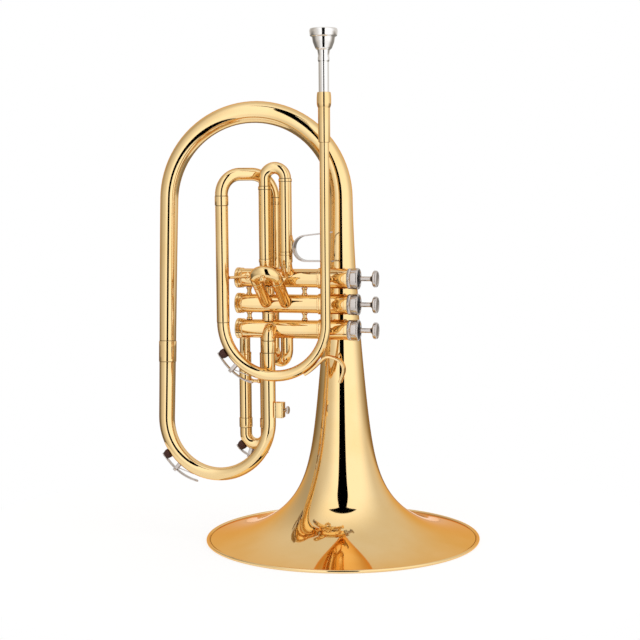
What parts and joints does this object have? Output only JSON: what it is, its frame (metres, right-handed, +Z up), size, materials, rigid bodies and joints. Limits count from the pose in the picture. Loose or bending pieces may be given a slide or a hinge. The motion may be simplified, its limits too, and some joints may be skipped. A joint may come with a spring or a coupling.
{
  "type": "mellophone",
  "caption": "Bell-front brass mellophone with a large loop, piston valves, tuning slides, water keys, hooks and a lyre box, standing on its bell.",
  "frame": {"origin": "middle of the ground covered by the instrument, at the level of the bell's rim", "axes": "+Z up along the bell's axis from the rim to the mouthpiece end; +X the side the valve buttons face, the way the finger buttons point; the leadpipe and the second valve slide are on the -Y side"},
  "size_m": [0.3016, 0.26, 0.475],
  "materials": {
    "brass": "clear lacquered, polished",
    "nickel": "nickel plated, polished",
    "silver": "silver plated, polished",
    "steel": "drawn wire",
    "cork": "dark cork, matt"
  },
  "bodies": {
    "instrument": {"bell": "brass", "lower_bow": "brass", "bell_bow": "brass", "valve_casing_1": "brass", "top_cap_1": "nickel", "bottom_cap_1": "brass", "valve_guide_1": "nickel", "valve_spring_1": "steel", "valve_casing_2": "brass", "top_cap_2": "nickel", "bottom_cap_2": "brass", "valve_guide_2": "nickel", "valve_spring_2": "steel", "valve_casing_3": "brass", "top_cap_3": "nickel", "bottom_cap_3": "brass", "valve_guide_3": "nickel", "valve_spring_3": "steel", "knuckle_1_2": "brass", "knuckle_2_3": "brass", "leadpipe": "brass", "mouthpiece_receiver": "brass", "inlet_tube": "brass", "first_slide_inner_left": "brass", "first_slide_inner_right": "brass", "second_slide_tube_left": "brass", "second_slide_tube_right": "brass", "third_slide_inner_left": "brass", "third_slide_inner_right": "brass", "exit_elbow": "brass", "crossover_bow": "brass", "leadpipe_brace": "brass", "pinky_hook": "brass", "lyre_box": "brass", "bow_key_post": "brass", "lead_key_post": "brass"},
    "valve_1": {"valve_piston_1": "nickel", "finger_button_1": "nickel"},
    "valve_2": {"valve_piston_2": "nickel", "finger_button_2": "nickel"},
    "valve_3": {"valve_piston_3": "nickel", "finger_button_3": "nickel"},
    "main_slide": {"main_slide_bow": "brass"},
    "first_slide": {"first_slide_sleeve_left": "brass", "first_slide_sleeve_right": "brass", "first_slide_bow": "brass", "thumb_saddle": "nickel"},
    "second_slide": {"second_slide_bow": "brass"},
    "third_slide": {"third_slide_sleeve_left": "brass", "third_slide_sleeve_right": "brass", "third_slide_bow": "brass", "third_key_post": "brass"},
    "mouthpiece_body": {"mouthpiece": "silver"},
    "bow_key": {"bow_key_lever": "nickel", "bow_key_cork": "cork"},
    "lead_key": {"lead_key_lever": "nickel", "lead_key_cork": "cork"},
    "third_key": {"third_key_lever": "nickel", "third_key_cork": "cork"},
    "lyre_thumbscrew": {"lyre_screw": "nickel"}
  },
  "joints": [
    {"name": "valve_1_press", "type": "slide", "parent": "instrument", "child": "valve_1", "axis": [-1, 0, 0], "range_m": [0, 0.012], "stiffness_N_per_m": 150, "springref_m": -0.012, "deforming": ["valve_spring_1"]},
    {"name": "valve_2_press", "type": "slide", "parent": "instrument", "child": "valve_2", "axis": [-1, 0, 0], "range_m": [0, 0.012], "stiffness_N_per_m": 150, "springref_m": -0.012, "deforming": ["valve_spring_2"]},
    {"name": "valve_3_press", "type": "slide", "parent": "instrument", "child": "valve_3", "axis": [-1, 0, 0], "range_m": [0, 0.012], "stiffness_N_per_m": 150, "springref_m": -0.012, "deforming": ["valve_spring_3"]},
    {"name": "main_slide_pull", "type": "slide", "parent": "instrument", "child": "main_slide", "axis": [0, 0, 1], "range_m": [0, 0.03]},
    {"name": "first_slide_pull", "type": "slide", "parent": "instrument", "child": "first_slide", "axis": [0, 0, 1], "range_m": [0, 0.03]},
    {"name": "second_slide_pull", "type": "slide", "parent": "instrument", "child": "second_slide", "axis": [0, -0.7738, 0.6334], "range_m": [0, 0.014]},
    {"name": "third_slide_pull", "type": "slide", "parent": "instrument", "child": "third_slide", "axis": [0, 0, -1], "range_m": [0, 0.02]},
    {"name": "mouthpiece_pull", "type": "slide", "parent": "instrument", "child": "mouthpiece_body", "axis": [0, 0, 1], "range_m": [0, 0.025]},
    {"name": "bow_key_hinge", "type": "hinge", "parent": "instrument", "child": "bow_key", "pos_m": [-0.13113, -0.0416, 0.06895], "axis": [0, -1, 0], "range_deg": [0, 8], "stiffness_Nm_per_rad": 0.05, "springref_deg": -22.92},
    {"name": "lead_key_hinge", "type": "hinge", "parent": "instrument", "child": "lead_key", "pos_m": [-0.06845, -0.06, 0.16696], "axis": [0, -1, 0], "range_deg": [0, 8], "stiffness_Nm_per_rad": 0.05, "springref_deg": -22.92},
    {"name": "third_key_hinge", "type": "hinge", "parent": "third_slide", "child": "third_key", "pos_m": [-0.06053, -0.032, 0.08293], "axis": [0, -1, 0], "range_deg": [0, 8], "stiffness_Nm_per_rad": 0.05, "springref_deg": -22.92},
    {"name": "lyre_screw_turn", "type": "hinge", "parent": "instrument", "child": "lyre_thumbscrew", "pos_m": [-0.02022, -0.047, 0.12945], "axis": [1, 0, 0], "continuous": true}
  ]
}
